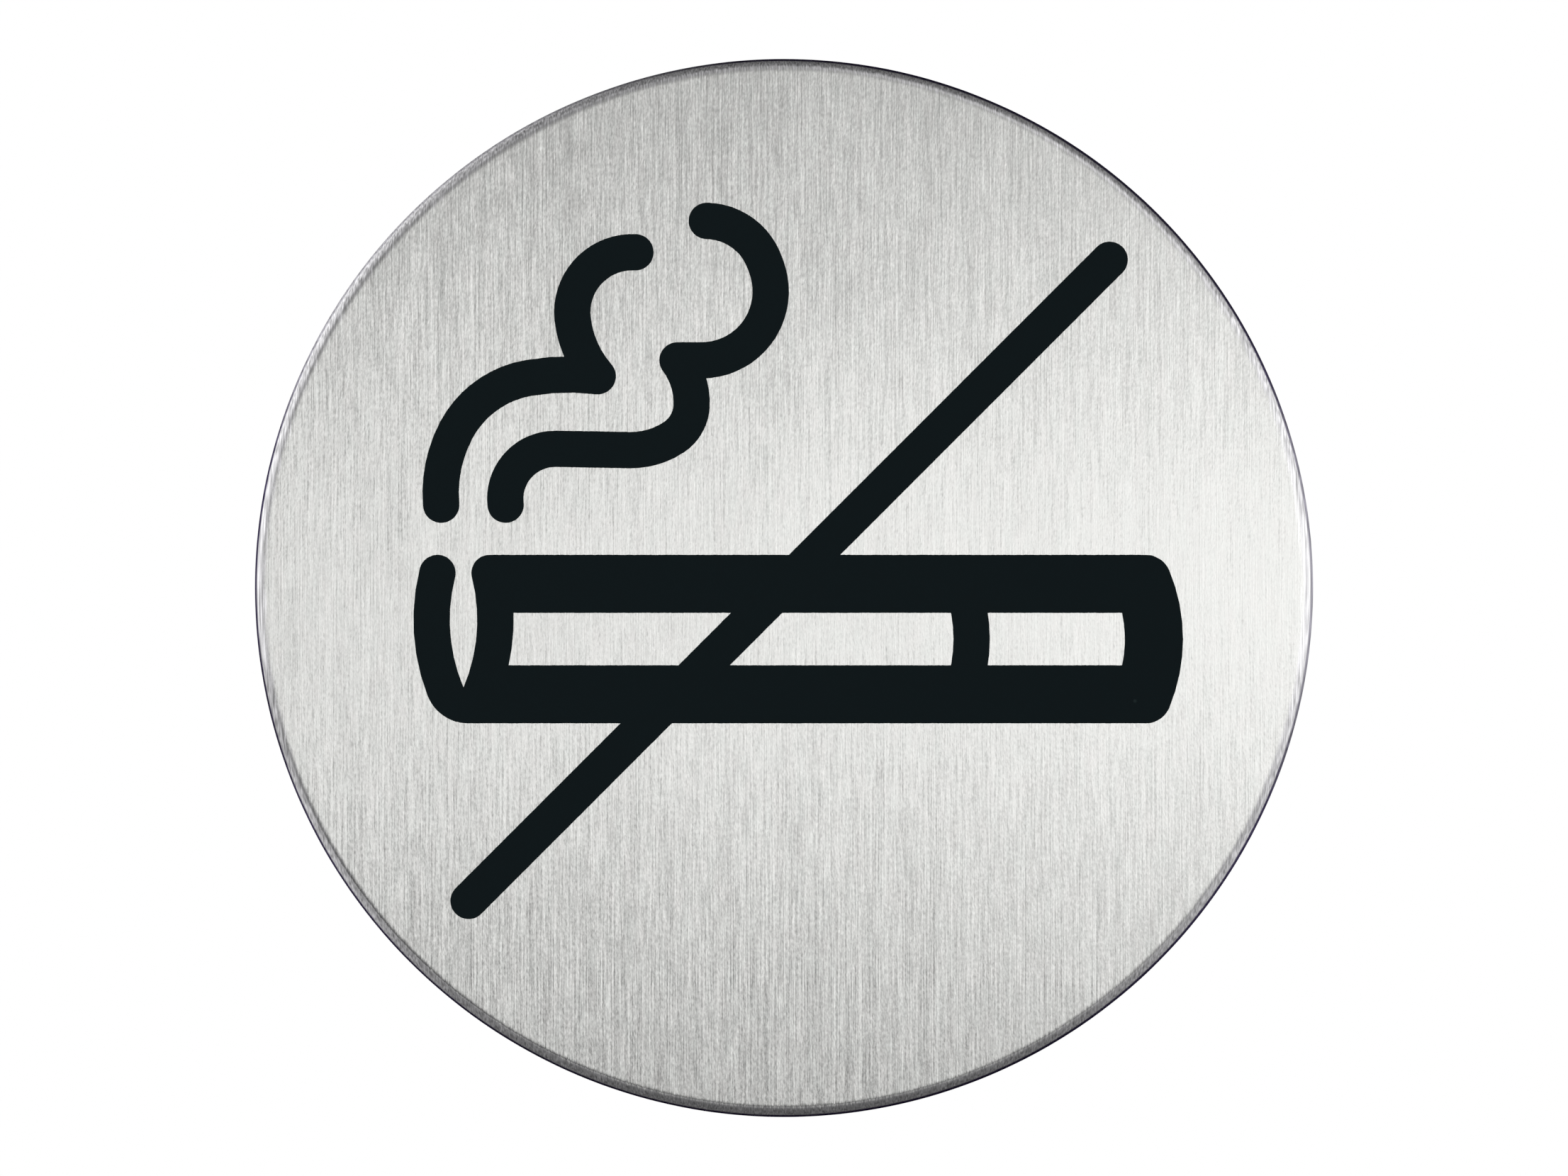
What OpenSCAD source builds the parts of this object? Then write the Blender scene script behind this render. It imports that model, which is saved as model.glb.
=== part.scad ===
// Round no smoking sign of brushed stainless steel that sticks to a door or a wall.
// It stands upright: X runs to the right, Z runs up and the printed face looks towards -Y.
// The origin is the middle of the adhesive pad's outer side, which lies on the wall.

/* [Plate] */
// Diameter of the steel disc
plate_d = 83; // [60:0.5:160]
// Thickness of the steel sheet
plate_t = 1; // [0.8:0.1:2]
// Width of the band round the face where the edge rolls over
roll_w = 0.75; // [0.5:0.05:1.5]
// How far the edge drops back from the face across that band
roll_drop = 0.5; // [0.4:0.05:0.6]
// Slope at which the band leaves the flat face, in degrees
roll_start = 13; // [5:1:15]
// Size of the bevel that takes the burr off the back edge
back_bevel = 0.1; // [0.05:0.05:0.15]

/* [Adhesive pad] */
// Thickness of the double-sided foam
pad_t = 0.8; // [0.4:0.1:2]
// Distance from the plate's edge in to the pad's edge
pad_inset = 6.5; // [2:0.5:15]

/* [Print] */
// Thickness of the ink
ink_t = 0.05; // [0.03:0.01:0.1]
// Diameter of plate that the sizes of the print are given for
print_for_d = 83; // [77:0.5:160]
// Width of the drawn lines
line_w = 2.85; // [2:0.05:3.4]

/* [Cigarette] */
// Height of the cigarette
barrel_h = 13.2; // [11:0.1:16]
// How far the cigarette's middle lies below the middle of the plate
barrel_drop = 4; // [2:0.1:6]
// Width of the cigarette's black border
border_w = 4.55; // [3:0.05:5]
// Distance from the middle of the plate to the mouth end
mouth_x = 31.25; // [26:0.05:34]
// Radius of the mouth end's curve
mouth_r = 14; // [10:0.5:30]
// Radius of the mouth end's corners
corner_r = 2; // [0.5:0.1:3]
// Distance from the middle of the plate to the line between paper and filter
filter_x = 14.7; // [8:0.1:20]
// Radius at which that line bends
filter_r = 12; // [8:0.5:40]

/* [Lit end] */
// Distance from the middle of the plate to the gap behind the glowing tip
gap_x = 25.1; // [22:0.1:27]
// Width of that gap where it is widest
gap_w = 2.15; // [1.5:0.05:3]
// How far the widest place of the gap lies above the cigarette's middle
gap_rise = 1.5; // [0:0.1:2.5]
// Radius at which the two lines beside the gap bend
tip_r = 15; // [12:0.5:25]
// Radius of the glowing tip's lower corner
tip_corner_r = 3.4; // [2:0.1:4.5]

/* [Slash] */
// Slope of the slash, in degrees
slash_slope = 45; // [40:1:50]
// Length of the slash without its round ends
slash_len = 71; // [60:0.5:74]
// How far the slash's middle lies right of the middle of the plate
slash_x = 0.4; // [-1:0.1:1]
// How far the slash's middle lies above the middle of the plate
slash_z = 0.6; // [-1:0.1:1]

/* [Smoke] */
// How far the foot of both curls lies above the middle of the plate
smoke_z = 5.1; // [4:0.1:8]
// Distance of the left curl's foot from the middle of the plate
left_x = 26.85; // [24:0.05:28]
// Direction in which the left curl rises, in degrees from the X axis
left_way = 95; // [85:1:105]
// Direction in which its upper stretch leaves the fold
left_fold_way = 131; // [120:1:140]
// Distance of the right curl's foot from the middle of the plate
right_x = 21.8; // [20:0.05:23]
// Direction in which the right curl rises
right_way = 97; // [85:1:105]
// Direction in which its upper stretch leaves the fold
right_fold_way = 0; // [-10:1:10]

/* [Hidden] */

// Each curl is two stretches, below and above its fold. A move is [radius, turn in degrees], with
// a turn to the left above zero, or [length, 0] where the line runs straight.
left_below = [[10.5, -33], [7.9, -52], [18.5, -17]];
left_above = [[8.2, -35], [4.7, -99]];
right_below = [[3.9, -98], [5.8, 0], [6, 35], [3.1, 53], [5.5, 40]];
right_above = [[1.9, 0], [5.4, 106], [9.1, 7], [4.9, 66]];

// Facets round the plate, degrees between two points on a printed curve, and the distance under
// which two points are one.
plate_fn = 180;
print_step = 6;
join_gap = 0.001;

plate_r = plate_d / 2;
pad_r = plate_r - pad_inset;
print_scale = plate_d / print_for_d;

// The rolled edge is an arc through both ends of the band that starts at the given slope.
roll_chord = norm([roll_w, roll_drop]);
roll_r = roll_chord / (2 * sin(atan(roll_drop / roll_w) - roll_start));
roll_centre = [plate_r - roll_w - roll_r * sin(roll_start), plate_t - roll_r * cos(roll_start)];

barrel_top = barrel_h / 2 - barrel_drop;
barrel_foot = barrel_top - barrel_h;
window_top = barrel_top - border_w;
window_foot = barrel_foot + border_w;

// The mouth end and the window's end wall bend round one centre.
mouth_centre = [mouth_x - mouth_r, -barrel_drop];
corner_slope = asin((barrel_h / 2 - corner_r) / (mouth_r - corner_r));
corner_run = (mouth_r - corner_r) * cos(corner_slope);

// The lines beside the gap bend round one centre each, to its left and to its right.
tip_in_r = tip_r - line_w / 2;
tip_out_r = tip_r + line_w / 2;
bend_z = gap_rise - barrel_drop;
bend_off = tip_in_r - gap_w / 2;
paper_centre = [-gap_x - bend_off, bend_z];
glow_centre = [-gap_x + bend_off, bend_z];
tip_cap_slope = asin((barrel_top - line_w / 2 - bend_z) / tip_r);
gap_slope = acos(bend_off / tip_in_r);
tip_corner_z = barrel_foot + tip_corner_r;
tip_corner_slope = asin((bend_z - tip_corner_z) / (tip_out_r - tip_corner_r));

// The middles of the round corners and line ends on the cigarette's outer edge.
top_corner = mouth_centre + [corner_run, barrel_h / 2 - corner_r];
foot_corner = mouth_centre + [corner_run, corner_r - barrel_h / 2];
tip_corner = [glow_centre[0] - (tip_out_r - tip_corner_r) * cos(tip_corner_slope), tip_corner_z];
paper_cap = paper_centre + tip_r * [cos(tip_cap_slope), sin(tip_cap_slope)];
glow_cap = glow_centre + tip_r * [-cos(tip_cap_slope), sin(tip_cap_slope)];

// Slope from the paper's bend centre to the paper's inner side at a height.
function slope_at(z) = asin((z - bend_z) / tip_out_r);

// The place that a share of a move leads to, where a place is [x, z, direction].
function place_after(p, move, share = 1) =
    move[1] == 0
    ? [p[0] + move[0] * share * cos(p[2]), p[1] + move[0] * share * sin(p[2]), p[2]]
    : let (r = sign(move[1]) * move[0], way = p[2] + move[1] * share)
      [p[0] + r * (sin(way) - sin(p[2])), p[1] - r * (cos(way) - cos(p[2])), way];

// All places from p along a list of moves.
function track(p, moves, i = 0) =
    i == len(moves)
    ? [p]
    : let (n = max(1, ceil(abs(moves[i][1]) / print_step)))
      concat(
          [for (j = [0:n - 1]) place_after(p, moves[i], j / n)],
          track(place_after(p, moves[i]), moves, i + 1)
      );

// The last place of a track, turned to a new direction.
function fold(path, way) = [path[len(path) - 1][0], path[len(path) - 1][1], way];

// Points round a centre, from one angle to another.
function arc(centre, r, from, to) =
    let (n = max(1, ceil(abs(to - from) / print_step)))
    [for (i = [0:n]) centre + r * [cos(from + (to - from) * i / n), sin(from + (to - from) * i / n)]];

// One outline from arcs laid end to end, where a point that two arcs share is kept once.
function outline(arcs) =
    [for (k = [0:len(arcs) - 1], i = [0:len(arcs[k]) - 1])
        let (next_arc = arcs[(k + 1) % len(arcs)], is_last = i == len(arcs[k]) - 1)
        if (!is_last || norm(arcs[k][i] - next_arc[0]) > join_gap) arcs[k][i]];

// The point at a distance to the left of a place.
function beside(p, d) = [p[0] - d * sin(p[2]), p[1] + d * cos(p[2])];

// The outline of a line drawn along a track, with round ends.
function line_outline(path) =
    let (last = len(path) - 1, foot = path[0], head = path[last])
    outline([
        [for (p = path) beside(p, -line_w / 2)],
        arc([head[0], head[1]], line_w / 2, head[2] - 90, head[2] + 90),
        [for (i = [last:-1:0]) beside(path[i], line_w / 2)],
        arc([foot[0], foot[1]], line_w / 2, foot[2] + 90, foot[2] + 270)
    ]);

// An area of the print, from points given for the stated size of plate.
module area(points) {
    polygon(print_scale * points);
}

module drawn_line(path) {
    area(line_outline(path));
}

// Shapes in ink on the plate's face, where those that meet are one layer.
module printed() {
    color("#10181a") rotate([90, 0, 0]) translate([0, 0, pad_t + plate_t])
        for (i = [0:$children - 1])
            linear_extrude(ink_t) children(i);
}

// The disc lies on the pad and looks forward.
module steel_plate() {
    color("#c9c9c5") rotate([90, 0, 0]) translate([0, 0, pad_t])
        rotate_extrude($fn = plate_fn) plate_section();
}

// Half of the disc's section: the face's edge rolls over, and the back edge has a small bevel.
module plate_section() {
    difference() {
        square([plate_r, plate_t]);
        translate(roll_centre) difference() {
            square(2 * roll_r);
            circle(r = roll_r, $fn = plate_fn);
        }
        translate([plate_r, 0]) rotate(45) square(sqrt(2) * back_bevel, center = true);
    }
}

module adhesive_pad() {
    color("#e8e6df") rotate([90, 0, 0]) cylinder(r = pad_r, h = pad_t, $fn = plate_fn);
}

// The cigarette from the glowing tip's inner side: down into the gap, up the paper's end, along the
// top, round the mouth end, back along the foot and up the outside of the tip.
module cigarette_outline() {
    area(outline([
        arc(glow_cap, line_w / 2, 180 - tip_cap_slope, -tip_cap_slope),
        arc(glow_centre, tip_in_r, 180 - tip_cap_slope, 180 + gap_slope),
        arc(paper_centre, tip_in_r, -gap_slope, tip_cap_slope),
        arc(paper_cap, line_w / 2, 180 + tip_cap_slope, 90),
        arc(top_corner, corner_r, 90, corner_slope),
        arc(mouth_centre, mouth_r, corner_slope, -corner_slope),
        arc(foot_corner, corner_r, -corner_slope, -90),
        arc(tip_corner, tip_corner_r, 270, 180 + tip_corner_slope),
        arc(glow_centre, tip_out_r, 180 + tip_corner_slope, 180 - tip_cap_slope)
    ]));
}

// The bare strip inside the border, from the paper's end to the mouth end.
module window() {
    wall_r = mouth_r - border_w;
    wall_slope = asin((barrel_h / 2 - border_w) / wall_r);
    area(outline([
        arc(mouth_centre, wall_r, -wall_slope, wall_slope),
        arc(paper_centre, tip_out_r, slope_at(window_top), slope_at(window_foot))
    ]));
}

// The line between paper and filter, whose round ends lie inside the border.
module filter_line() {
    half_slope = asin((barrel_h - border_w) / 2 / filter_r);
    foot = [
        filter_x - filter_r + filter_r * cos(half_slope),
        -barrel_drop - filter_r * sin(half_slope),
        90 - half_slope
    ];
    drawn_line(track(foot, [[filter_r, 2 * half_slope]]));
}

module slash() {
    half_run = slash_len / 2 * [cos(slash_slope), sin(slash_slope)];
    foot = [slash_x - half_run[0], slash_z - half_run[1], slash_slope];
    drawn_line(track(foot, [[slash_len, 0]]));
}

module crossed_cigarette() {
    printed() {
        difference() {
            cigarette_outline();
            window();
        }
        filter_line();
        slash();
    }
}

// A curl of smoke: one line up to the fold, and one from the fold on.
module curl(foot_x, way, below, fold_way, above) {
    lower = track([-foot_x, smoke_z + line_w / 2, way], below);
    printed() {
        drawn_line(lower);
        drawn_line(track(fold(lower, fold_way), above));
    }
}

module smoke_left() {
    curl(left_x, left_way, left_below, left_fold_way, left_above);
}

module smoke_right() {
    curl(right_x, right_way, right_below, right_fold_way, right_above);
}

steel_plate();
adhesive_pad();
crossed_cigarette();
smoke_left();
smoke_right();
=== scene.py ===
import math
from collections import namedtuple

import bmesh
import bpy
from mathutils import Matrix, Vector, noise


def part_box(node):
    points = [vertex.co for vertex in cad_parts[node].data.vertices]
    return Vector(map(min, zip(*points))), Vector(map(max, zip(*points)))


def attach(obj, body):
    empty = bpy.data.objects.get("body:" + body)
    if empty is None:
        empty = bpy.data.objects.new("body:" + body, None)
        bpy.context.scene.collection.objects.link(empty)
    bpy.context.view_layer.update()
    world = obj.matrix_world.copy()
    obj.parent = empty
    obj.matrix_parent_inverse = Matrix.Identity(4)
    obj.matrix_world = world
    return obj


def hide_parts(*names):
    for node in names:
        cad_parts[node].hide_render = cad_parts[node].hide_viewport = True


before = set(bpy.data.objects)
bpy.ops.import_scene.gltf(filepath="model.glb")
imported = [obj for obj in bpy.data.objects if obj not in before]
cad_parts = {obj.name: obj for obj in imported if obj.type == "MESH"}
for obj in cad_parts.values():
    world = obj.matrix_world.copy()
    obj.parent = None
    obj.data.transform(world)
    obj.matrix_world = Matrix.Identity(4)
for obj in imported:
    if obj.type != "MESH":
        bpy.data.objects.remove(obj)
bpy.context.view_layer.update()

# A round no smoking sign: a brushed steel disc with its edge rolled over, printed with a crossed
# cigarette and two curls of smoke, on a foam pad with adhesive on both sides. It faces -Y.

MM = 0.001
TO_MM = 1000.0
TO_DEGREES = 180 / math.pi

STEEL_LOW, STEEL_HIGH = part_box("steel_plate")
PAD_LOW, PAD_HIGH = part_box("adhesive_pad")
DISC_RADIUS = (STEEL_HIGH.x - STEEL_LOW.x) / 2
DISC_MM = DISC_RADIUS * TO_MM
FACE_Y = STEEL_LOW.y
BACK_Y = STEEL_HIGH.y
PAD_RADIUS = (PAD_HIGH.x - PAD_LOW.x) / 2

# The rolled edge of the disc, as the CAD source gives it
ROLL_WIDTH = 0.75 * MM
ROLL_DROP = 0.5 * MM
ROLL_START = math.radians(13)
BACK_BEVEL = 0.1 * MM

# The roll runs softly into the face between two distances from the rim, and the press leaves a
# small round at the cut edge
BLEND_OUTER = 0.5 * MM
BLEND_INNER = 1.15 * MM
EDGE_ROUND = 0.02 * MM

# The foam's lip at both skins, and how far the die pinches its side in between them
PAD_LIP = 0.05 * MM
PAD_PINCH = 0.12 * MM

# How unevenly each rim runs, and the seed of its waves
DISC_UNEVENNESS = 0.03 * MM
PAD_UNEVENNESS = 0.08 * MM
DISC_SEED = 2.0
PAD_SEED = 5.0
RIM_WAVES = 7.0
RIM_REACH = 2 * MM
RIM_FULL = 0.5 * MM

# How finely the bodies are divided, and the angle from which an edge is sharp
FACETS = 360
BLEND_STEPS = 14
ROLL_STEPS = 14
ROUND_STEPS = 5
PAD_SIDE_STEPS = 8
MERGE_GAP = 0.002 * MM
SHARP_ANGLE = math.radians(32)

# The ink's outline: the step between its points, how far it wanders and how wide a groove is
INK_STEP = 0.08 * MM
INK_WANDER = 0.018 * MM
GROOVE_WIDTH = 0.16 * MM
GROOVE_LENGTH = 30 * GROOVE_WIDTH
CREEP_LENGTH = 4 * GROOVE_WIDTH

# The studio, and the width that the photograph takes in at the depth of the disc's outline
FLOOR_Z = -0.2
FLOOR_RADIUS = 0.6
FLOOR_SIDES = 180
PHOTO_WIDTH = 122.98 * MM
CAMERA_DISTANCE = 0.35
SENSOR_WIDTH = 36.0

WHITE = (1.0, 1.0, 1.0, 1.0)

# Nearly all of a noise's values lie between these two
NOISE_LOW = 0.3
NOISE_HIGH = 0.7


# Nodes

def add(tree, kind, given=None, **settings):
    """A node of that kind, with its settings made and each given input linked or set."""
    made = tree.nodes.new(kind)
    for key, value in settings.items():
        setattr(made, key, value)
    for key, value in (given or {}).items():
        if isinstance(value, bpy.types.NodeSocket):
            tree.links.new(value, made.inputs[key])
        else:
            made.inputs[key].default_value = value
    return made


def maths(tree, operation, *values):
    return add(tree, "ShaderNodeMath", dict(enumerate(values)), operation=operation).outputs[0]


def plus(tree, first, second):
    return maths(tree, "ADD", first, second)


def minus(tree, first, second):
    return maths(tree, "SUBTRACT", first, second)


def times(tree, first, second):
    return maths(tree, "MULTIPLY", first, second)


def vector_maths(tree, operation, *values):
    made = add(tree, "ShaderNodeVectorMath", dict(enumerate(values)), operation=operation)
    gives_number = operation in ("DOT_PRODUCT", "DISTANCE", "LENGTH")
    return made.outputs["Value" if gives_number else "Vector"]


def scaled(tree, vector, factor):
    """A vector or a colour times a number."""
    return add(tree, "ShaderNodeVectorMath", {0: vector, "Scale": factor}, operation="SCALE").outputs[0]


def parts_of(tree, vector):
    return add(tree, "ShaderNodeSeparateXYZ", {0: vector}).outputs


def vector_of(tree, **parts):
    return add(tree, "ShaderNodeCombineXYZ", parts).outputs[0]


def spread(tree, value, low, high, to_low=0.0, to_high=1.0, smooth=True):
    """The value's place between low and high, laid out between two new ends."""
    given = {"Value": value, "From Min": low, "From Max": high, "To Min": to_low, "To Max": to_high}
    kind = "SMOOTHSTEP" if smooth else "LINEAR"
    return add(tree, "ShaderNodeMapRange", given, interpolation_type=kind).outputs["Result"]


def between(tree, share, first, second, smooth=False):
    """First where share is 0 and second where it is 1, as numbers."""
    return spread(tree, share, 0.0, 1.0, first, second, smooth=smooth)


def by_noise(tree, noise_value, at_low, at_high):
    """A noise's usual span, laid out between two values."""
    return spread(tree, noise_value, NOISE_LOW, NOISE_HIGH, at_low, at_high)


def mixed(tree, share, first, second):
    """First where share is 0 and second where it is 1, as colours."""
    made = add(tree, "ShaderNodeMix", data_type="RGBA")
    for name, value in (("Factor_Float", share), ("A_Color", first), ("B_Color", second)):
        socket = next(s for s in made.inputs if s.identifier == name)
        if isinstance(value, bpy.types.NodeSocket):
            tree.links.new(value, socket)
        else:
            socket.default_value = value
    return next(s for s in made.outputs if s.identifier == "Result_Color")


def layered(tree, *layers):
    """The sum of layers, each given as a value and its weight."""
    (first, first_weight), *others = layers
    total = times(tree, first, first_weight)
    for layer, weight in others:
        total = maths(tree, "MULTIPLY_ADD", layer, weight, total)
    return total


def falling_off(tree, value, width, power=2.0):
    """1 where the value is 0, falling off to both sides over the width, more abruptly at a higher
    power."""
    share = maths(tree, "ABSOLUTE", maths(tree, "DIVIDE", value, width))
    return maths(tree, "EXPONENT", times(tree, maths(tree, "POWER", share, power), -1.0))


def place_in_mm(tree):
    """A point's own place on the piece, in millimetres."""
    place = add(tree, "ShaderNodeTexCoord").outputs["Object"]
    return scaled(tree, place, TO_MM)


def stretched(tree, place, across, deep, along):
    """The place with its three directions scaled, in pattern cells a millimetre."""
    return vector_maths(tree, "MULTIPLY", place, (across, deep, along))


def noise_at(tree, place, detail=2.0, scale=1.0):
    given = {"Vector": place, "Scale": scale, "Detail": detail, "Roughness": 0.5}
    return add(tree, "ShaderNodeTexNoise", given, noise_dimensions="3D").outputs["Fac"]


def foam_cells(tree, place, scale, randomness):
    """How far a point lies from the middle of its cell, with the walls between cells softened."""
    given = {"Vector": place, "Scale": scale, "Randomness": randomness}
    return add(tree, "ShaderNodeTexVoronoi", given, feature="SMOOTH_F1").outputs["Distance"]


def in_the_world(tree, vector):
    """A direction given on the piece, as a direction in the world."""
    turn = {"vector_type": "VECTOR", "convert_from": "OBJECT", "convert_to": "WORLD"}
    return add(tree, "ShaderNodeVectorTransform", {0: vector}, **turn).outputs[0]


def bumped(tree, height, depth, under=None):
    """A normal from a height of 0 to 1 that stands for a real depth in metres, over another normal."""
    given = {"Distance": depth, "Height": height}
    if under is not None:
        given["Normal"] = under
    return add(tree, "ShaderNodeBump", given).outputs["Normal"]


def new_material(name):
    """An empty material with its node tree, and the Principled shader that it ends in."""
    material = bpy.data.materials.new(name)
    material.use_nodes = True
    tree = material.node_tree
    tree.nodes.clear()
    shader = add(tree, "ShaderNodeBsdfPrincipled")
    add(tree, "ShaderNodeOutputMaterial", {"Surface": shader.outputs["BSDF"]})
    return material, tree, shader


def set_inputs(tree, shader, **given):
    for key, value in given.items():
        name = key.replace("_", " ")
        if isinstance(value, bpy.types.NodeSocket):
            tree.links.new(value, shader.inputs[name])
        else:
            shader.inputs[name].default_value = value


# Brushed steel

# Brush marks a millimetre across the brushing, and cells a millimetre along it for each length, in
# the colour and in the lean of the lines
MARKS_ACROSS = 9.0
SHORT_MARKS = 3.0
LINES = 0.45
LONG_LINES = 0.07
LEANING_SHORT = 2.8
LEANING_MIDDLING = 0.5
LEANING_LONG = 0.1

# The weight of each layer of the brushing, and what the layers add up to on average
SHORT_WEIGHT = 0.5
LINES_WEIGHT = 0.4
LONG_WEIGHT = 0.3
CLOUDS_WEIGHT = 0.15
MEAN_STREAK = (SHORT_WEIGHT + LINES_WEIGHT + LONG_WEIGHT + CLOUDS_WEIGHT) / 2

# How much the brushing shows at the left of the face, at the right and on the roll
CONTRAST_LEFT = 0.84
CONTRAST_RIGHT = 0.33
CONTRAST_ON_ROLL = 0.6

# How far the lines of each length lean, and how much of that is left at either side and on the roll
SHORT_LEAN = 0.07
MIDDLING_LEAN = 0.05
LONG_LEAN = 0.055
MEAN_LEAN = (SHORT_LEAN + MIDDLING_LEAN + LONG_LEAN) / 2
LEAN_LEFT = 1.07
LEAN_RIGHT = 0.72
LEAN_ON_ROLL = 0.5

# The brushing changes evenly between these two places, in millimetres from the middle
LEFT_MM = -35.0
RIGHT_MM = 38.0

# The rolled band and the thin line along the cut edge that is painted dark as painted shade, in
# millimetres in from the rim: where each starts, where it is full, and how far its inner side is ragged
ROLL_FROM = 1.0
ROLL_FULL = 0.65
ROLL_RAGGED = 0.6
EDGE_SHADE_FROM = 0.22
EDGE_SHADE_FULL = 0.12
EDGE_SHADE_RAGGED = 0.08
EDGE_SHADE_WIDER_RIGHT = 0.05

# How deep the roll's furrows are, and how dark the painted shade makes the roll at the bottom
FURROW_DEPTH = 0.95
ROLL_PAINTED_SHADE_AT_BOTTOM = 0.34

STEEL_WARM = (0.643, 0.632, 0.619, 1)
STEEL_COOL = (0.622, 0.636, 0.617, 1)
ROLL_COLOUR = (0.60, 0.595, 0.608, 1)
# Painted shade: a dark reflection painted into the line along the cut edge, in its colour and its
# glance
PAINTED_EDGE_SHADE_COLOUR = (0.058, 0.05, 0.092, 1)
PAINTED_EDGE_SHADE_GLANCE = (0.15, 0.13, 0.2, 1)


def brush_marks(tree, place, along, detail=0.0):
    """Narrow upright marks, which are the longer the fewer cells a millimetre they have along."""
    return noise_at(tree, stretched(tree, place, MARKS_ACROSS, MARKS_ACROSS, along), detail=detail)


def from_left_to_right(tree, place, at_left, at_right):
    """A value that changes evenly from the left of the face to the right."""
    across = parts_of(tree, place)["X"]
    return spread(tree, across, LEFT_MM, RIGHT_MM, at_left, at_right, smooth=False)


def distance_from_axis(tree, place):
    return vector_maths(tree, "LENGTH", stretched(tree, place, 1.0, 0.0, 1.0))


def share_on_roll(tree, radius, lines):
    """0 on the face and 1 on the rolled band, whose inner side is ragged by the brush lines."""
    ragged = maths(tree, "MULTIPLY_ADD", lines, ROLL_RAGGED, minus(tree, radius, ROLL_RAGGED / 2))
    return spread(tree, ragged, DISC_MM - ROLL_FROM, DISC_MM - ROLL_FULL)


def share_painted_edge_shade(tree, place, radius, lines):
    """1 in the thin line next to the cut edge, which is painted dark as painted shade. It is wider at
    the right, and the painted shade is lighter at the upper left and at the far right."""
    across = parts_of(tree, place)["X"]
    edge_shade_radius = minus(tree, radius, EDGE_SHADE_RAGGED / 2)
    edge_shade_radius = maths(tree, "MULTIPLY_ADD", lines, EDGE_SHADE_RAGGED, edge_shade_radius)
    edge_shade_radius = plus(tree, edge_shade_radius, spread(tree, across, -15.0, 25.0, 0.0, EDGE_SHADE_WIDER_RIGHT))
    painted_edge_shade = spread(tree, edge_shade_radius, DISC_MM - EDGE_SHADE_FROM, DISC_MM - EDGE_SHADE_FULL)
    upper_left = (-0.64, 0.0, 0.77)
    shade_lifted_left = 0.6
    shade_lifted_right = 0.35
    to_upper_left = vector_maths(tree, "DOT_PRODUCT", place, upper_left)
    less_shade_left = spread(tree, to_upper_left, 33.0, 41.0, 0.0, shade_lifted_left)
    less_shade_right = spread(tree, across, 37.5, 41.5, 0.0, shade_lifted_right)
    return times(tree, painted_edge_shade, minus(tree, 1.0, plus(tree, less_shade_left, less_shade_right)))


def face_tone(tree, place, streaks, on_roll):
    """How light the brushing makes each point. It varies less at the right and on the roll, and the
    face is painted slightly lighter towards the right as painted light.
    """
    contrast = from_left_to_right(tree, place, CONTRAST_LEFT, CONTRAST_RIGHT)
    contrast = times(tree, contrast, between(tree, on_roll, 1.0, CONTRAST_ON_ROLL, smooth=True))
    tone = maths(tree, "MULTIPLY_ADD", minus(tree, streaks, MEAN_STREAK), contrast, 1.0)
    across = parts_of(tree, place)["X"]
    # Painted light: the face is made slightly lighter towards the right
    painted_light_to_right = spread(tree, across, -40.0, 40.0, 0.955, 0.985, smooth=False)
    return times(tree, tone, painted_light_to_right)


def roll_tone(tree, place, both_lines, on_roll):
    """1 on the face. The rolled band has furrows, and it is painted darker towards the bottom, as
    painted shade.
    """
    furrows = maths(tree, "MULTIPLY_ADD", minus(tree, both_lines, 1.0), FURROW_DEPTH, 1.0)
    height = parts_of(tree, place)["Z"]
    # Painted shade: the roll is made darker towards the bottom
    painted_bottom_shade = spread(tree, height, 0.0, -DISC_MM, 1.0, ROLL_PAINTED_SHADE_AT_BOTTOM, smooth=False)
    furrowed = between(tree, on_roll, 1.0, furrows)
    return times(tree, furrowed, between(tree, on_roll, 1.0, painted_bottom_shade))


def leaning_grain(tree, place, on_roll):
    """The surface's normal, where each line that the brush left leans a little up or down, so that
    the grain shows more the further it lies from the light's reflection. It leans less at the right
    and on the roll."""
    another_stretch = (57.0, 0.0, 31.0)
    elsewhere = vector_maths(tree, "ADD", place, another_stretch)
    lean = layered(
        tree,
        (brush_marks(tree, elsewhere, LEANING_LONG), LONG_LEAN),
        (brush_marks(tree, elsewhere, LEANING_SHORT, detail=1.0), SHORT_LEAN),
        (brush_marks(tree, elsewhere, LEANING_MIDDLING), MIDDLING_LEAN),
    )
    lean = minus(tree, lean, MEAN_LEAN)
    lean = times(tree, lean, between(tree, on_roll, 1.0, LEAN_ON_ROLL, smooth=True))
    lean = times(tree, lean, from_left_to_right(tree, place, LEAN_LEFT, LEAN_RIGHT))
    normal = add(tree, "ShaderNodeNewGeometry").outputs["Normal"]
    leaning = vector_maths(tree, "ADD", normal, in_the_world(tree, vector_of(tree, Z=lean)))
    return vector_maths(tree, "NORMALIZE", leaning)


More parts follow.
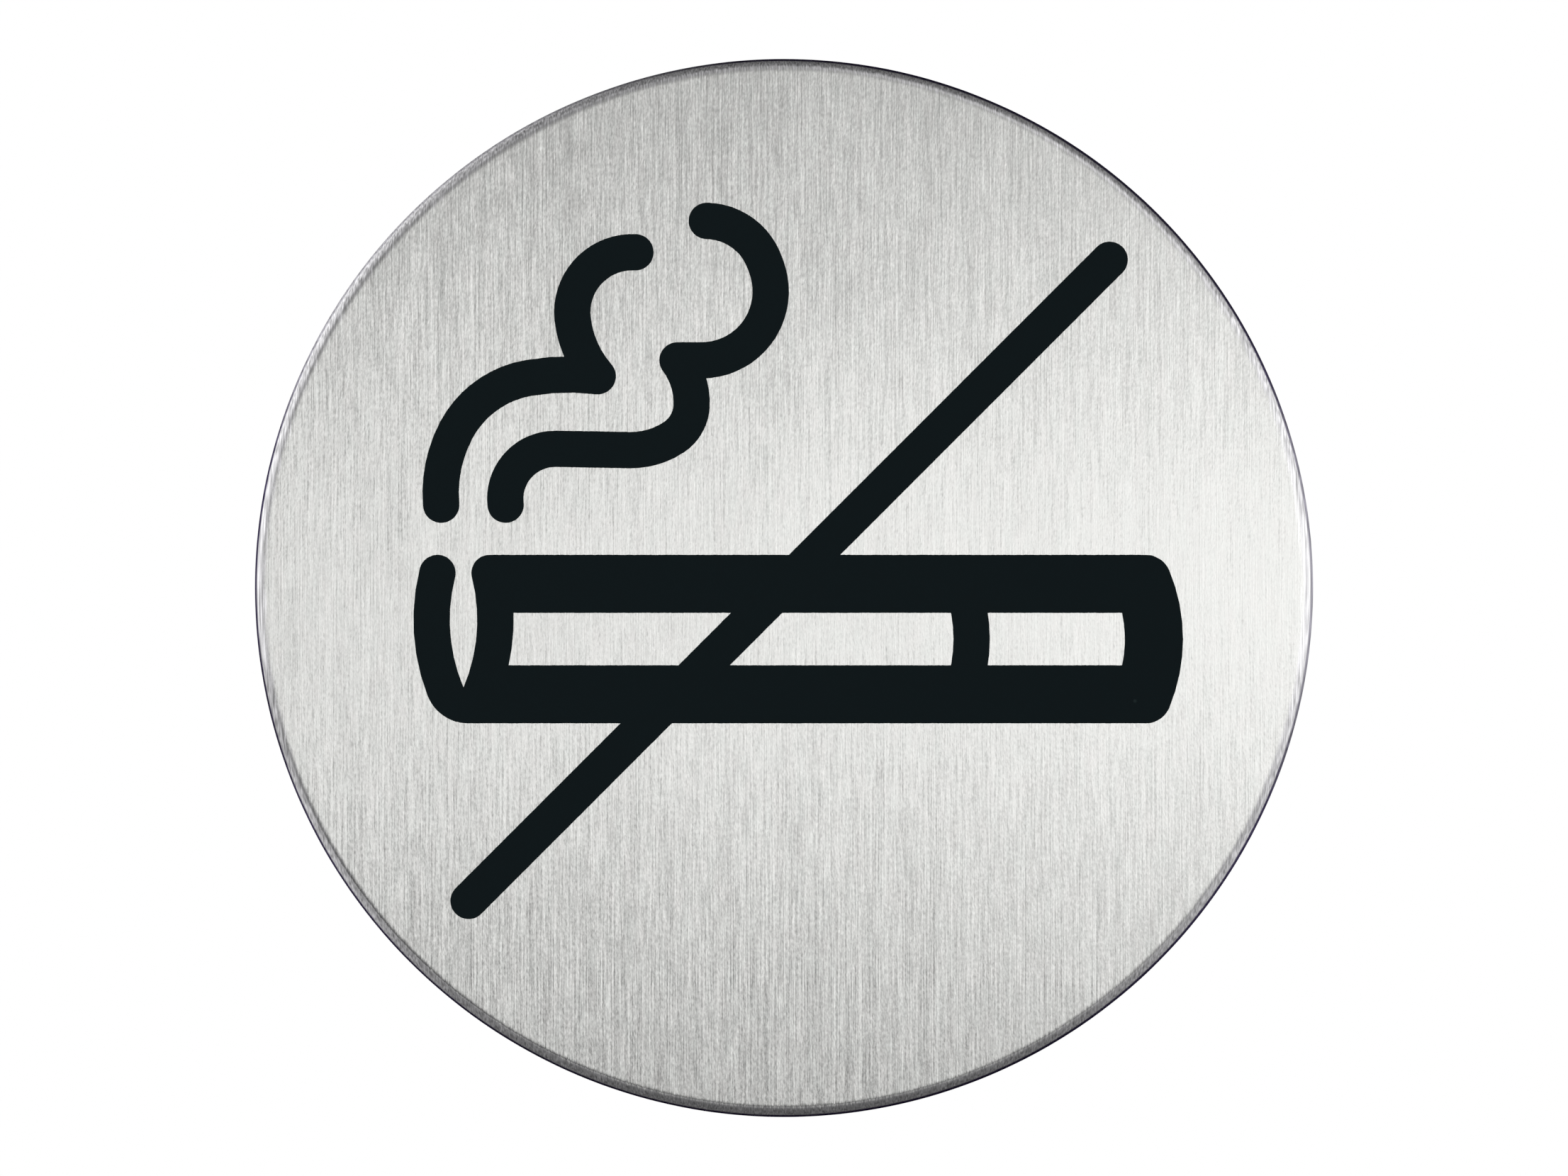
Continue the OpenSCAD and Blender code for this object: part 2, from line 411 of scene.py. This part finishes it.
def brushed_steel():
    """Stainless steel brushed up and down: fine short grain, longer lines and a few long scratches,
    over faint clouds. The light that it reflects spreads sideways, across the brushing."""
    material, tree, shader = new_material("brushed_steel")
    place = place_in_mm(tree)
    radius = distance_from_axis(tree, place)
    lines = brush_marks(tree, place, LINES)
    long_lines = brush_marks(tree, place, LONG_LINES)
    streaks = layered(
        tree,
        (brush_marks(tree, place, SHORT_MARKS, detail=1.0), SHORT_WEIGHT),
        (lines, LINES_WEIGHT),
        (long_lines, LONG_WEIGHT),
        (noise_at(tree, stretched(tree, place, 0.25, 0.25, 0.06)), CLOUDS_WEIGHT),
    )
    on_roll = share_on_roll(tree, radius, lines)
    painted_edge_shade = share_painted_edge_shade(tree, place, radius, lines)
    tone = times(
        tree,
        face_tone(tree, place, streaks, on_roll),
        roll_tone(tree, place, plus(tree, lines, long_lines), on_roll),
    )
    tinge = noise_at(tree, stretched(tree, place, 1.1, 1.1, 0.35))
    colour = mixed(tree, tinge, STEEL_WARM, STEEL_COOL)
    colour = mixed(tree, on_roll, colour, ROLL_COLOUR)
    # Painted shade: the line along the cut edge is painted dark
    colour = mixed(tree, painted_edge_shade, colour, PAINTED_EDGE_SHADE_COLOUR)
    set_inputs(
        tree, shader,
        Base_Color=scaled(tree, colour, tone),
        Metallic=1.0,
        # Painted shade: the reflection in the line along the cut edge is tinted dark
        Specular_Tint=mixed(tree, painted_edge_shade, WHITE, PAINTED_EDGE_SHADE_GLANCE),
        Roughness=spread(tree, streaks, 0.4, 0.95, 0.17, 0.23, smooth=False),
        Anisotropic=0.9,
        Tangent=in_the_world(tree, vector_of(tree, X=1.0)),
        Normal=bumped(tree, streaks, 0.008 * MM, under=leaning_grain(tree, place, on_roll)),
    )
    return material


# Other materials

def mill_steel():
    """The back of the sheet as it came from the mill, dull with faint rolling lines."""
    material, tree, shader = new_material("mill_steel")
    place = place_in_mm(tree)
    mottle = noise_at(tree, stretched(tree, place, 1.1, 1.1, 0.5), detail=4.0)
    lines = noise_at(tree, stretched(tree, place, 6.0, 6.0, 0.12), detail=1.0)
    both = layered(tree, (mottle, 0.6), (lines, 0.4))
    mill_grey = (0.56, 0.555, 0.54)
    set_inputs(
        tree, shader,
        Base_Color=scaled(tree, mill_grey, by_noise(tree, both, 0.9, 1.06)),
        Metallic=1.0,
        Roughness=by_noise(tree, both, 0.42, 0.32),
        Normal=bumped(tree, both, 0.003 * MM),
    )
    return material


def cut_steel():
    """The sheared side of the disc: a burnished band towards the face, torn metal towards the back."""
    material, tree, shader = new_material("cut_steel")
    place = place_in_mm(tree)
    burnished_grey = (0.48, 0.48, 0.49, 1)
    torn_grey = (0.34, 0.337, 0.332, 1)
    burnished_width = 0.3
    scratches = noise_at(tree, stretched(tree, place, 5.0, 0.8, 5.0))
    tearing = noise_at(tree, place, detail=4.0, scale=9.0)
    wavy = maths(tree, "MULTIPLY_ADD", scratches, 0.2, parts_of(tree, place)["Y"])
    tears_from = (FACE_Y + ROLL_DROP) * TO_MM + burnished_width
    torn = spread(tree, wavy, tears_from - 0.03, tears_from + 0.05)
    tone = by_noise(tree, tearing, 0.75, 1.2)
    height = times(tree, tearing, maths(tree, "MULTIPLY_ADD", torn, 0.8, 0.2))
    set_inputs(
        tree, shader,
        Base_Color=scaled(tree, mixed(tree, torn, burnished_grey, torn_grey), tone),
        Metallic=1.0,
        Roughness=between(tree, torn, 0.28, 0.5, smooth=True),
        Normal=bumped(tree, height, 0.03 * MM),
    )
    return material


def black_ink():
    """Matt screen ink, nearly black with a blue-green tinge. The brushed grain shows through faintly,
    and a speck by the mouth end has lost a little of its colour."""
    material, tree, shader = new_material("black_ink")
    place = place_in_mm(tree)
    deep_ink = (0.0027, 0.0051, 0.0060, 1)
    thin_ink = (0.0033, 0.0063, 0.0074, 1)
    worn_ink = (0.0095, 0.015, 0.016, 1)
    speck_place = (27.48, FACE_Y * TO_MM, -8.85)
    speck_radius = 0.2
    speck_middle = 0.05
    grain = noise_at(tree, stretched(tree, place, 4.0, 4.0, 0.5))
    mottle = noise_at(tree, place, detail=3.0, scale=1.4)
    off_speck = vector_maths(tree, "DISTANCE", place, speck_place)
    speck = spread(tree, off_speck, speck_radius, speck_middle)
    colour = mixed(tree, mottle, deep_ink, thin_ink)
    set_inputs(
        tree, shader,
        Base_Color=mixed(tree, speck, colour, worn_ink),
        Roughness=by_noise(tree, mottle, 0.52, 0.62),
        Specular_IOR_Level=0.035,
        Normal=bumped(tree, layered(tree, (mottle, 0.5), (grain, 0.5)), 0.004 * MM),
    )
    return material


def white_foam():
    """The cut side of closed-cell foam: small open cells in off-white, with painted shade darkening
    their hollows.
    """
    material, tree, shader = new_material("white_foam")
    place = place_in_mm(tree)
    foam_white = (0.80, 0.79, 0.74)
    pore = spread(tree, foam_cells(tree, place, 5.5, 0.9), 0.15, 0.5)
    mottle = noise_at(tree, place, detail=3.0, scale=0.8)
    # Painted shade: the pores' hollows are made darker
    painted_pore_shade = between(tree, pore, 0.82, 1.0, smooth=True)
    tone = times(tree, painted_pore_shade, by_noise(tree, mottle, 0.96, 1.03))
    set_inputs(
        tree, shader,
        Base_Color=scaled(tree, foam_white, tone),
        Roughness=0.85,
        Subsurface_Weight=0.15,
        Subsurface_Radius=(1.0, 0.9, 0.7),
        Subsurface_Scale=0.3 * MM,
        Normal=bumped(tree, pore, 0.06 * MM),
    )
    return material


def adhesive_skin():
    """The layer of adhesive on the foam: clear and slightly glossy, with the foam's cells under it."""
    material, tree, shader = new_material("adhesive_skin")
    place = place_in_mm(tree)
    adhesive_cream = (0.78, 0.765, 0.70)
    cells = foam_cells(tree, place, 2.6, 1.0)
    waves = noise_at(tree, place, scale=0.18)
    fine = noise_at(tree, place, detail=4.0, scale=2.2)
    cell_tone = spread(tree, cells, 0.1, 0.6, 0.93, 1.0)
    tone = times(tree, cell_tone, by_noise(tree, fine, 0.96, 1.02))
    set_inputs(
        tree, shader,
        Base_Color=scaled(tree, adhesive_cream, tone),
        Roughness=by_noise(tree, waves, 0.26, 0.4),
        Coat_Weight=0.25,
        Coat_Roughness=0.18,
        Normal=bumped(tree, layered(tree, (cells, 0.2), (waves, 0.8)), 0.12 * MM),
    )
    return material


def studio_floor():
    """A pale matt floor. The camera sees it run up to the white of the studio further out, and the
    steel sees painted pools of light to both sides, which the floor itself gives off as glow."""
    material, tree, shader = new_material("studio_floor")
    place = place_in_mm(tree)
    floor_grey = (0.55, 0.55, 0.55)
    pales_from = 80.0
    palest_at = 0.9 * FLOOR_RADIUS * TO_MM
    radius = vector_maths(tree, "LENGTH", stretched(tree, place, 1.0, 1.0, 0.0))
    pale_near = 0.4
    pale_far = 0.75
    left_level = 0.72
    right_level = 0.78
    paleness = spread(tree, radius, pales_from, palest_at, pale_near, pale_far)
    parts = parts_of(tree, place)
    weaker_in_front = spread(tree, parts["Y"], -300.0, -50.0, 0.5, 1.0)
    # Painted light: pools of glow on the floor, which no lamp casts, for the steel to reflect
    pool_left = times(tree, spread(tree, parts["X"], -80.0, -320.0, 0.0, left_level), weaker_in_front)
    pool_right = spread(tree, parts["X"], 60.0, 340.0, 0.0, right_level)
    pooled = plus(tree, pool_left, pool_right)
    mottle = noise_at(tree, place, scale=0.01)
    seen = add(tree, "ShaderNodeLightPath").outputs["Is Camera Ray"]
    set_inputs(
        tree, shader,
        Base_Color=scaled(tree, floor_grey, by_noise(tree, mottle, 0.985, 1.015)),
        Roughness=0.9,
        Specular_IOR_Level=0.1,
        Emission_Color=WHITE,
        Emission_Strength=between(tree, seen, pooled, paleness),
    )
    return material


# Bodies turned from a section

def arc_points(middle_r, middle_y, radius, from_tilt, to_tilt, steps):
    """Points on a circle, as pairs of radius and Y, from one tilt off the face's normal to another."""
    points = []
    for i in range(steps + 1):
        tilt = from_tilt + (to_tilt - from_tilt) * i / steps
        points.append((middle_r + radius * math.sin(tilt), middle_y - radius * math.cos(tilt)))
    return points


def blend_points(tilt, drop):
    """The soft start of the roll, from the flat face down to the tilt and the drop that it has where
    the roll's own circle takes over."""
    inner = DISC_RADIUS - BLEND_INNER
    width = BLEND_INNER - BLEND_OUTER
    power = math.tan(tilt) * width / drop
    shares = [i / BLEND_STEPS for i in range(BLEND_STEPS)]
    return [(inner + width * share, FACE_Y + drop * share ** power) for share in shares]


def disc_section():
    """Half of the disc's section, from the middle of the face round the edge to the middle of the
    back, as pairs of radius and Y."""
    chord = math.hypot(ROLL_WIDTH, ROLL_DROP)
    roll_radius = chord / (2 * math.sin(math.atan2(ROLL_DROP, ROLL_WIDTH) - ROLL_START))
    middle_r = DISC_RADIUS - ROLL_WIDTH - roll_radius * math.sin(ROLL_START)
    middle_y = FACE_Y + roll_radius * math.cos(ROLL_START)
    blend_tilt = math.asin((DISC_RADIUS - BLEND_OUTER - middle_r) / roll_radius)
    blend_drop = middle_y - roll_radius * math.cos(blend_tilt) - FACE_Y
    round_r = DISC_RADIUS - EDGE_ROUND
    round_tilt = math.asin((round_r - middle_r) / (roll_radius - EDGE_ROUND))
    round_y = middle_y - (roll_radius - EDGE_ROUND) * math.cos(round_tilt)
    flat_face = [(0.0, FACE_Y), (0.5 * DISC_RADIUS, FACE_Y), (DISC_RADIUS - 2 * BLEND_INNER, FACE_Y)]
    roll = arc_points(middle_r, middle_y, roll_radius, blend_tilt, round_tilt, ROLL_STEPS)
    small_round = arc_points(round_r, round_y, EDGE_ROUND, round_tilt, math.pi / 2, ROUND_STEPS)
    back = [
        (DISC_RADIUS, BACK_Y - BACK_BEVEL),
        (DISC_RADIUS - BACK_BEVEL, BACK_Y),
        (DISC_RADIUS - 2 * ROLL_WIDTH, BACK_Y),
        (0.5 * DISC_RADIUS, BACK_Y),
        (0.0, BACK_Y),
    ]
    return flat_face + blend_points(blend_tilt, blend_drop) + roll + small_round[1:] + back


def pad_section():
    """Half of the pad's section: the die pinches the foam's side in a little between its skins."""
    flat_radii = [0.0, 0.5 * PAD_RADIUS, PAD_RADIUS - 4 * PAD_LIP, PAD_RADIUS - PAD_LIP]
    side_height = PAD_HIGH.y - PAD_LOW.y - 2 * PAD_LIP
    points = [(radius, PAD_LOW.y) for radius in flat_radii]
    for i in range(PAD_SIDE_STEPS + 1):
        share = i / PAD_SIDE_STEPS
        radius = PAD_RADIUS - PAD_PINCH * math.sin(math.pi * share)
        points.append((radius, PAD_LOW.y + PAD_LIP + side_height * share))
    points += [(radius, PAD_HIGH.y) for radius in reversed(flat_radii)]
    return points


TURNING_INPUTS = {
    "Section points": "NodeSocketInt",
    "Facets": "NodeSocketInt",
    "Rim radius": "NodeSocketFloat",
    "Unevenness": "NodeSocketFloat",
    "Seed": "NodeSocketFloat",
    "Merge gap": "NodeSocketFloat",
    "Front material": "NodeSocketMaterial",
    "Side material": "NodeSocketMaterial",
    "Back material": "NodeSocketMaterial",
}


def turned_place(tree, given, around):
    """Where each point of a grid goes: its row picks the section's point, and its place in the row
    gives the turn about the Y axis. The rim runs slightly uneven."""
    index = add(tree, "GeometryNodeInputIndex").outputs[0]
    row = maths(tree, "FLOOR", maths(tree, "DIVIDE", plus(tree, index, 0.5), around))
    in_row = minus(tree, index, times(tree, row, around))
    position = add(tree, "GeometryNodeInputPosition").outputs[0]
    sampled = {"Geometry": given["Geometry"], "Value": position, "Index": row}
    section_place = add(tree, "GeometryNodeSampleIndex", sampled, data_type="FLOAT_VECTOR")
    parts = parts_of(tree, section_place.outputs["Value"])
    whole_turn = maths(tree, "MODULO", in_row, given["Facets"])
    angle = maths(tree, "DIVIDE", times(tree, whole_turn, math.tau), given["Facets"])
    cosine = maths(tree, "COSINE", angle)
    sine = maths(tree, "SINE", angle)
    ring = vector_of(tree, X=cosine, Y=given["Seed"], Z=sine)
    waves = noise_at(tree, ring, detail=3.0, scale=RIM_WAVES)
    near_rim = spread(tree, minus(tree, given["Rim radius"], parts["X"]), RIM_REACH, RIM_FULL)
    shift = times(tree, minus(tree, waves, 0.5), given["Unevenness"])
    radius = maths(tree, "MULTIPLY_ADD", shift, near_rim, parts["X"])
    return vector_of(tree, X=times(tree, radius, cosine), Y=parts["Y"], Z=times(tree, radius, sine))


def with_materials(tree, given, geometry):
    """The side's material everywhere, then the front's and the back's where the faces look that way."""
    facing = parts_of(tree, add(tree, "GeometryNodeInputNormal").outputs[0])["Y"]
    any_way = 2.0
    limit = 0.3
    for name, test, bound in (
        ("Side material", "LESS_THAN", any_way),
        ("Front material", "LESS_THAN", -limit),
        ("Back material", "GREATER_THAN", limit),
    ):
        compared = {"A": facing, "B": bound}
        chosen = add(tree, "FunctionNodeCompare", compared, data_type="FLOAT", operation=test)
        painted = {"Geometry": geometry, "Selection": chosen.outputs["Result"], "Material": given[name]}
        geometry = add(tree, "GeometryNodeSetMaterial", painted).outputs[0]
    return geometry


def turning_tree():
    """Geometry Nodes that turn a section's points about the Y axis into a closed body, with a
    material for each side."""
    tree = bpy.data.node_groups.new("turned_body", "GeometryNodeTree")
    tree.interface.new_socket("Geometry", in_out="OUTPUT", socket_type="NodeSocketGeometry")
    tree.interface.new_socket("Geometry", in_out="INPUT", socket_type="NodeSocketGeometry")
    for name, kind in TURNING_INPUTS.items():
        tree.interface.new_socket(name, in_out="INPUT", socket_type=kind)
    given = add(tree, "NodeGroupInput").outputs
    around = plus(tree, given["Facets"], 1)
    size = {"Vertices X": given["Section points"], "Vertices Y": around}
    grid = add(tree, "GeometryNodeMeshGrid", size).outputs["Mesh"]
    moved = {"Geometry": grid, "Position": turned_place(tree, given, around)}
    turned = add(tree, "GeometryNodeSetPosition", moved).outputs[0]
    merged = {"Geometry": turned, "Distance": given["Merge gap"]}
    closed = add(tree, "GeometryNodeMergeByDistance", merged).outputs[0]
    real = add(tree, "GeometryNodeRealizeInstances", {"Geometry": closed}).outputs[0]
    smooth = add(tree, "GeometryNodeSetShadeSmooth", {"Geometry": real}).outputs[0]
    add(tree, "NodeGroupOutput", {"Geometry": with_materials(tree, given, smooth)})
    return tree


def linked_object(name, mesh):
    obj = bpy.data.objects.new(name, mesh)
    bpy.context.scene.collection.objects.link(obj)
    return obj


def point_outwards(mesh):
    work = bmesh.new()
    work.from_mesh(mesh)
    bmesh.ops.recalc_face_normals(work, faces=work.faces)
    work.to_mesh(mesh)
    work.free()


def turned_body(name, tree, section, radius, unevenness, seed, front, side, back):
    """A closed mesh turned from its section by the tree, as a plain mesh with the tree taken off."""
    mesh = bpy.data.meshes.new(name)
    mesh.from_pydata([(r, y, 0.0) for r, y in section], [], [])
    obj = linked_object(name, mesh)
    modifier = obj.modifiers.new("turned", "NODES")
    modifier.node_group = tree
    values = {
        "Section points": len(section),
        "Facets": FACETS,
        "Rim radius": radius,
        "Unevenness": unevenness,
        "Seed": seed,
        "Merge gap": MERGE_GAP,
        "Front material": front,
        "Side material": side,
        "Back material": back,
    }
    for item in tree.interface.items_tree:
        if item.in_out == "INPUT" and item.name in values:
            modifier[item.identifier] = values[item.name]
    evaluated = obj.evaluated_get(bpy.context.evaluated_depsgraph_get())
    plain = bpy.data.meshes.new_from_object(evaluated)
    obj.modifiers.clear()
    obj.data = plain
    plain.name = name
    point_outwards(plain)
    plain.set_sharp_from_angle(angle=SHARP_ANGLE)
    return obj


def steel_disc(tree):
    disc = turned_body(
        "steel_disc", tree, disc_section(), DISC_RADIUS, DISC_UNEVENNESS, DISC_SEED,
        front=brushed_steel(), side=cut_steel(), back=mill_steel(),
    )
    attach(disc, "root")
    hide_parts("steel_plate")


def foam_pad(tree):
    skin = adhesive_skin()
    pad = turned_body(
        "foam_pad", tree, pad_section(), PAD_RADIUS, PAD_UNEVENNESS, PAD_SEED,
        front=skin, side=white_foam(), back=skin,
    )
    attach(pad, "root")
    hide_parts("adhesive_pad")


# Print

def ink_edge_shift(place):
    """How far the ink's edge wanders at a place: it creeps along the brushed grain, so it moves
    mostly up and down, and by another amount in each groove."""
    soft_layer = 7.0
    next_layer = Vector((0.0, 11.0, 0.0))
    soft_share = 0.5
    across_share = 0.4
    groove = Vector((place.x / GROOVE_WIDTH, 0.0, place.z / GROOVE_LENGTH))
    soft = Vector((place.x / CREEP_LENGTH, soft_layer, place.z / CREEP_LENGTH))
    up = noise.noise(groove) + soft_share * noise.noise(soft)
    across = across_share * noise.noise(soft + next_layer)
    return Vector((across * INK_WANDER, 0.0, up * INK_WANDER))


def front_outline(node):
    """The outline of a printed node's front side, as loose edges cut into short steps."""
    work = bmesh.new()
    work.from_mesh(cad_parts[node].data)
    bmesh.ops.remove_doubles(work, verts=work.verts, dist=MERGE_GAP / 10)
    work.normal_update()
    faces_forward = -0.9
    behind = [f for f in work.faces if f.normal.y > faces_forward]
    bmesh.ops.delete(work, geom=behind, context="FACES")
    inner = [e for e in work.edges if not e.is_boundary]
    bmesh.ops.delete(work, geom=inner, context="EDGES_FACES")
    for edge in list(work.edges):
        cuts = int(edge.calc_length() / INK_STEP)
        if cuts > 0:
            bmesh.ops.subdivide_edges(work, edges=[edge], cuts=cuts)
    return work


def ink_layer(name, node, material):
    """The node's printed outline as a layer of ink whose edges wander a little, as screen ink does
    on a brushed surface."""
    work = front_outline(node)
    for vert in work.verts:
        vert.co += ink_edge_shift(vert.co)
    towards_us = (0.0, -1.0, 0.0)
    filled = bmesh.ops.triangle_fill(work, use_beauty=True, edges=list(work.edges), normal=towards_us)
    faces = [f for f in filled["geom"] if isinstance(f, bmesh.types.BMFace)]
    grown = bmesh.ops.extrude_face_region(work, geom=faces)
    ink_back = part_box(node)[1].y
    for vert in (v for v in grown["geom"] if isinstance(v, bmesh.types.BMVert)):
        vert.co.y = ink_back
    bmesh.ops.recalc_face_normals(work, faces=work.faces)
    mesh = bpy.data.meshes.new(name)
    work.to_mesh(mesh)
    work.free()
    mesh.materials.append(material)
    layer = linked_object(name, mesh)
    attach(layer, "root")
    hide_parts(node)


def pictogram():
    ink = black_ink()
    ink_layer("printed_cigarette", "crossed_cigarette", ink)
    ink_layer("printed_smoke_left", "smoke_left", ink)
    ink_layer("printed_smoke_right", "smoke_right", ink)


# Studio

# A way that light comes from: its direction, how high it is and how far off straight ahead of the
# sign, in degrees, and how far it is to the right and to the back, from -1 to 1
Way = namedtuple("Way", "direction height off_ahead sideways backwards")


def floor():
    """A plain round floor below the sign."""
    work = bmesh.new()
    bmesh.ops.create_circle(work, cap_ends=True, segments=FLOOR_SIDES, radius=FLOOR_RADIUS)
    for vert in work.verts:
        vert.co.z = FLOOR_Z
    mesh = bpy.data.meshes.new("floor")
    work.to_mesh(mesh)
    work.free()
    mesh.materials.append(studio_floor())
    linked_object("floor", mesh)


def way_of_light(tree):
    direction = add(tree, "ShaderNodeTexCoord").outputs["Generated"]
    parts = parts_of(tree, direction)
    height = times(tree, maths(tree, "ARCSINE", parts["Z"]), TO_DEGREES)
    ahead = times(tree, parts["Y"], -1.0)
    off_ahead = times(tree, maths(tree, "ARCCOSINE", ahead), TO_DEGREES)
    return Way(direction, height, off_ahead, parts["X"], parts["Y"])


def side_to_side(tree, way, reach, at_left, at_right, smooth=True):
    """A value that changes from the left to the right within that reach of the middle."""
    return spread(tree, way.sideways, -reach, reach, at_left, at_right, smooth=smooth)


def room_light(tree, way):
    """Even light from all round, dimmer overhead and dark below the horizon."""
    at_horizon = 0.46
    overhead = 0.25
    left_below = 0.3
    level = spread(tree, maths(tree, "ABSOLUTE", way.height), 35.0, 90.0, at_horizon, overhead)
    return times(tree, level, spread(tree, way.height, -6.0, -12.0, 1.0, left_below))


def light_ahead(tree, way, room):
    """A wide soft panel straight ahead of the sign with a brighter strip in its middle. Both slope
    down a little towards the left and are wider and brighter at the right. The room's light has a
    dimmer patch above them at the left."""
    is_ahead = spread(tree, way.off_ahead, 60.0, 20.0)
    drop = 0.17
    rise_to_right = 2.0
    panel_level = 0.50
    strip_level = 0.40
    patch_height = 26.0
    patch_width = 14.0
    patch_depth = 0.42
    over_middle = plus(tree, way.height, drop)
    off_panel = maths(tree, "MULTIPLY_ADD", way.sideways, -rise_to_right, over_middle)
    panel_width = side_to_side(tree, way, 0.4, 6.5, 7.7)
    strip_width = side_to_side(tree, way, 0.4, 2.4, 2.75)
    panel = times(tree, falling_off(tree, off_panel, panel_width, power=3.0), panel_level)
    strip = times(tree, falling_off(tree, off_panel, strip_width), strip_level)
    lit = times(tree, plus(tree, panel, strip), is_ahead)
    patch = falling_off(tree, minus(tree, way.height, patch_height), patch_width)
    patch = times(tree, patch, spread(tree, way.sideways, 0.0, 0.2, patch_depth, 0.0))
    room_ahead = times(tree, room, minus(tree, 1.0, patch))
    brighter_right = side_to_side(tree, way, 0.45, 0.72, 1.42, smooth=False)
    lit = times(tree, plus(tree, lit, room_ahead), brighter_right)
    lit_ahead = times(tree, lit, is_ahead)
    return maths(tree, "MULTIPLY_ADD", room, minus(tree, 1.0, is_ahead), lit_ahead)


def light_at_sides(tree, way):
    """A strong band along the horizon to both sides and behind. It is higher and wider at the left.
    Behind the sign it is narrower at the right, and dimmer, most of all at the left."""
    at_right = side_to_side(tree, way, 0.2, 0.0, 1.0)
    raised_left = 9.0
    sooner_right = 11.0
    starts_at = 20.0
    full_at = 52.0
    above = minus(tree, way.height, spread(tree, way.sideways, -0.3, -0.9, 0.0, raised_left))
    narrowest = between(tree, at_right, 1.0, 0.55)
    width = side_to_side(tree, way, 0.9, 34.0, 31.0)
    width = times(tree, width, spread(tree, way.backwards, -0.1, 0.5, 1.0, narrowest))
    band = falling_off(tree, above, width, power=between(tree, at_right, 2.0, 3.0))
    dimmest = between(tree, at_right, 0.5, 0.9)
    level = spread(tree, maths(tree, "ABSOLUTE", way.sideways), 0.35, 0.95, 0.9, 1.0)
    level = times(tree, level, side_to_side(tree, way, 0.6, 1.9, 2.2))
    level = times(tree, level, spread(tree, way.backwards, -0.2, 0.6, 1.0, dimmest))
    off_start = maths(tree, "MULTIPLY_ADD", at_right, sooner_right, way.off_ahead)
    onset = spread(tree, off_start, starts_at, full_at)
    return times(tree, times(tree, band, level), onset)


def window_light(tree, way):
    """A round soft light high up at the left, a little behind the sign."""
    window = (-0.75, 0.12, 0.65)
    level = 1.1
    towards = vector_maths(tree, "DOT_PRODUCT", way.direction, window)
    return spread(tree, towards, 0.82, 1.0, 0.0, level)


def studio_world():
    """The soft light round the sign, which is weaker away from straight ahead. The camera sees plain
    white behind the sign, and the steel shows the light itself."""
    world = bpy.data.worlds.new("studio")
    bpy.context.scene.world = world
    world.use_nodes = True
    tree = world.node_tree
    tree.nodes.clear()
    way = way_of_light(tree)
    ahead = light_ahead(tree, way, room_light(tree, way))
    total = plus(tree, plus(tree, ahead, light_at_sides(tree, way)), window_light(tree, way))
    weaker_off_ahead = spread(tree, way.off_ahead, 14.0, 34.0, 1.0, 0.6)
    total = times(tree, total, weaker_off_ahead)
    seen = add(tree, "ShaderNodeLightPath").outputs["Is Camera Ray"]
    given = {"Color": WHITE, "Strength": between(tree, seen, total, 1.0)}
    shader = add(tree, "ShaderNodeBackground", given)
    add(tree, "ShaderNodeOutputWorld", {"Surface": shader.outputs[0]})


def soft_lamp(name, place, size, watts):
    """A large soft lamp that looks at the sign. It lights what is matt and isn't seen in the steel,
    which shows the studio round it instead."""
    data = bpy.data.lights.new(name, "AREA")
    data.shape = "DISK"
    data.size = size
    data.energy = watts
    lamp = bpy.data.objects.new(name, data)
    lamp.location = place
    lamp.rotation_euler = (-Vector(place)).to_track_quat("-Z", "Y").to_euler()
    lamp.visible_glossy = False
    lamp.visible_camera = False
    bpy.context.scene.collection.objects.link(lamp)


def lamps():
    """One lamp above, one in front for the ink and one behind for the pad."""
    soft_lamp("lamp_overhead", place=(0.05, -0.15, 0.8), size=0.7, watts=1.2)
    soft_lamp("lamp_front", place=(-0.3, -0.9, 0.15), size=0.8, watts=5.0)
    soft_lamp("lamp_behind", place=(0.3, 0.9, 0.3), size=0.8, watts=1.5)


def camera():
    """Straight in front of the sign, with the photograph's frame at the depth of the disc's outline."""
    data = bpy.data.cameras.new("camera")
    data.sensor_width = SENSOR_WIDTH
    data.lens = SENSOR_WIDTH * CAMERA_DISTANCE / PHOTO_WIDTH
    data.clip_start = 0.01
    data.clip_end = 20.0
    data.dof.use_dof = False
    viewer = bpy.data.objects.new("camera", data)
    viewer.location = (0.0, FACE_Y + ROLL_DROP - CAMERA_DISTANCE, 0.0)
    viewer.rotation_euler = (math.radians(90), 0.0, 0.0)
    bpy.context.scene.collection.objects.link(viewer)
    bpy.context.scene.camera = viewer


camera()
studio_world()
lamps()
floor()
turning = turning_tree()
steel_disc(turning)
foam_pad(turning)
pictogram()
bpy.context.scene.view_settings.view_transform = "Standard"
